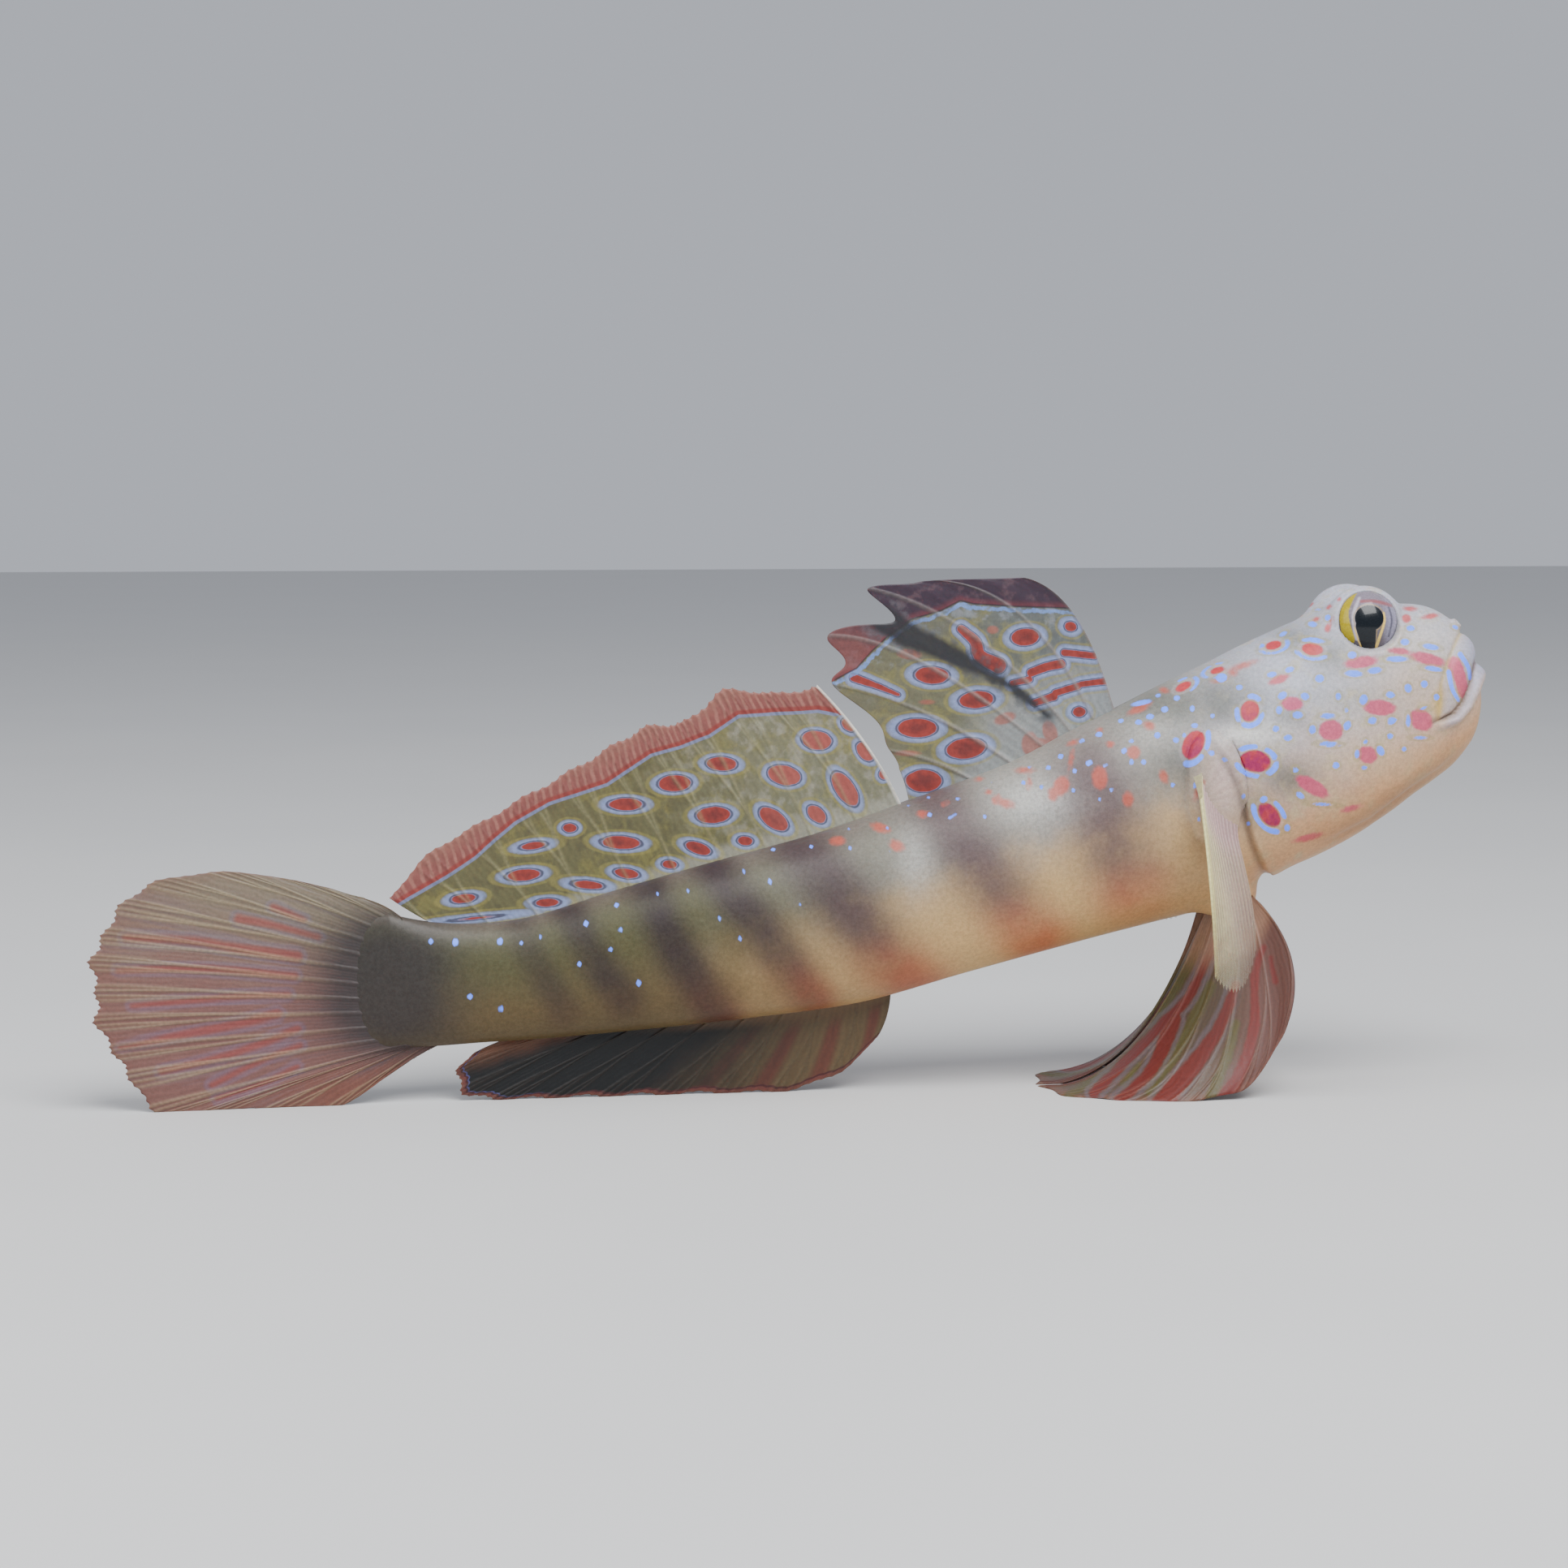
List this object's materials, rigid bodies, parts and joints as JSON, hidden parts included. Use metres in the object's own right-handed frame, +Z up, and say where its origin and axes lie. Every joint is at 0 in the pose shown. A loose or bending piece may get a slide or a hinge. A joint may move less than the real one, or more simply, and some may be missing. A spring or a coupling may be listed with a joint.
{
  "type": "pink-spotted watchman goby",
  "caption": "Still life-size model of a slender reef fish propped on its pelvic disc, with raised dorsal fins, a rounded tail fin and eyes high on its head.",
  "frame": {"origin": "on the floor, under the middle of the fish's bounding box", "axes": "+X towards the snout, +Y towards the fish's left side, +Z up"},
  "size_m": [0.1157, 0.0268, 0.0424],
  "materials": {
    "skin_head": "moist skin, pale lavender grey with crimson and light-blue spots",
    "skin_torso": "moist skin, grey to olive with slanted purple-brown bars, peach belly",
    "skin_tail": "moist skin, olive grey with a dark blotch",
    "eye_right": "glossy clear cornea over a lavender and gold iris with a black pupil",
    "eye_left": "glossy clear cornea over a lavender and gold iris with a black pupil",
    "membrane_dorsal_first": "thin olive membrane, red spots ringed in light blue, dusky upper margin",
    "membrane_dorsal_second": "thin olive membrane, red spots ringed in light blue, salmon margin",
    "membrane_anal": "thin membrane, blackish behind, olive with red stripes in front",
    "membrane_caudal": "thin tan-pink membrane with red streaks along the rays",
    "membrane_pectoral_right": "thin pale membrane with whitish rays",
    "membrane_pectoral_left": "thin pale membrane with whitish rays",
    "membrane_pelvic_right": "thin membrane striped red, olive and light blue along the rays",
    "membrane_pelvic_left": "thin membrane striped red, olive and light blue along the rays"
  },
  "bodies": {
    "root": {"head": "skin_head", "torso": "skin_torso", "tail": "skin_tail", "eye_right": "eye_right", "eye_left": "eye_left", "fin_dorsal_first": "membrane_dorsal_first", "fin_dorsal_second": "membrane_dorsal_second", "fin_anal": "membrane_anal", "fin_caudal": "membrane_caudal", "fin_pectoral_right": "membrane_pectoral_right", "fin_pectoral_left": "membrane_pectoral_left", "fin_pelvic_right": "membrane_pelvic_right", "fin_pelvic_left": "membrane_pelvic_left"}
  },
  "joints": []
}
